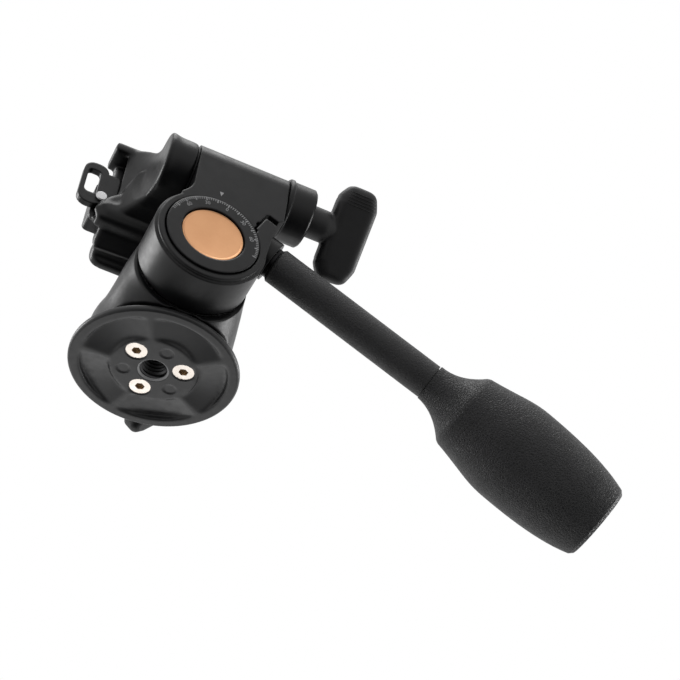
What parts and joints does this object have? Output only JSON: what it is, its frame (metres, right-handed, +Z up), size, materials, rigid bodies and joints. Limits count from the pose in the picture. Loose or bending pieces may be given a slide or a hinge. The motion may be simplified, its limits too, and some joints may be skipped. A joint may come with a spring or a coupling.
{
  "type": "three-way tripod head",
  "caption": "Compact three-way camera head: panning base with tripod thread, clamped tilt drum with twist-lock handle, and a flip platform with a quick-release plate.",
  "frame": {"origin": "centre of the tripod face of the base, on the pan axis", "axes": "+Z up the pan axis, +X back along the flip axis towards the flip knob, -Y towards the gold axle cap"},
  "size_m": [0.2043, 0.0943, 0.126],
  "materials": {
    "black_casting": "satin black coating on a die casting",
    "base_casting": "satin dark grey anodised",
    "black_plastic": "fine moulded grain",
    "rubber": "leather-grain moulded rubber",
    "rod_black": "fine textured black powder coat",
    "steel": "bright turned steel",
    "alloy": "bare turned alloy",
    "nylon": "natural nylon",
    "gold": "satin gold anodised",
    "brass": "turned brass"
  },
  "bodies": {
    "base": {"base_plate": "base_casting", "base_screws": "steel", "pan_spindle": "alloy", "base_washer": "nylon"},
    "pan": {"pan_housing": "black_casting", "keeper_ring": "alloy", "keeper_screws": "steel", "pan_washer": "nylon", "pan_brake_shoe": "nylon", "tilt_axle": "alloy", "axle_disc": "alloy", "tilt_dial": "black_casting", "axle_cap": "gold", "axle_bolt": "steel", "axle_bolt_washer": "steel", "tilt_washer": "nylon"},
    "pan_lock": {"pan_knob": "black_plastic", "pan_knob_screw": "steel"},
    "tilt": {"tilt_casting": "black_casting", "tilt_liner": "nylon", "roll_bushes": "nylon", "roll_collar": "black_casting", "collar_washer": "steel"},
    "handle": {"handle_rod": "rod_black", "handle_stud": "steel", "handle_washer": "steel", "handle_grip": "rubber"},
    "platform": {"platform_body": "black_casting", "roll_shaft": "steel", "shaft_pin": "steel", "roll_washer": "nylon", "lever_pin": "steel"},
    "flip_lock": {"roll_knob": "black_plastic", "roll_knob_insert": "brass"},
    "lever": {"release_lever": "black_casting"},
    "plate": {"quick_plate": "black_casting", "plate_pad": "rubber"},
    "screw": {"camera_screw": "steel"}
  },
  "joints": [
    {"name": "pan_turn", "type": "hinge", "parent": "base", "child": "pan", "pos_m": [0, 0, 0], "axis": [0, 0, 1], "continuous": true},
    {"name": "pan_lock_turn", "type": "hinge", "parent": "pan", "child": "pan_lock", "pos_m": [0.00877, 0.02869, 0.0115], "axis": [0.2924, 0.9563, 0], "range_deg": [0, 270]},
    {"name": "tilt", "type": "hinge", "parent": "pan", "child": "tilt", "pos_m": [0, -0.03675, 0.0258], "axis": [0, 1, 0], "range_deg": [-38, 38]},
    {"name": "handle_twist", "type": "hinge", "parent": "tilt", "child": "handle", "pos_m": [0.00647, -0.03675, 0.0412], "axis": [0.9219, 0, -0.3875], "range_deg": [0, 270]},
    {"name": "flip", "type": "hinge", "parent": "tilt", "child": "platform", "pos_m": [0, -0.0355, 0.0625], "axis": [1, 0, 0], "range_deg": [0, 90]},
    {"name": "flip_lock_turn", "type": "hinge", "parent": "platform", "child": "flip_lock", "pos_m": [0.045, -0.0355, 0.0625], "axis": [1, 0, 0], "range_deg": [0, 270]},
    {"name": "lever_swing", "type": "hinge", "parent": "platform", "child": "lever", "pos_m": [-0.0352, -0.0118, 0.0575], "axis": [0, 1, 0], "range_deg": [0, 18]},
    {"name": "plate_slide", "type": "slide", "parent": "platform", "child": "plate", "axis": [1, 0, 0], "range_m": [0, 0.07]},
    {"name": "camera_screw_turn", "type": "hinge", "parent": "plate", "child": "screw", "pos_m": [-0.00475, -0.0055, 0.0625], "axis": [0, 1, 0], "continuous": true}
  ]
}
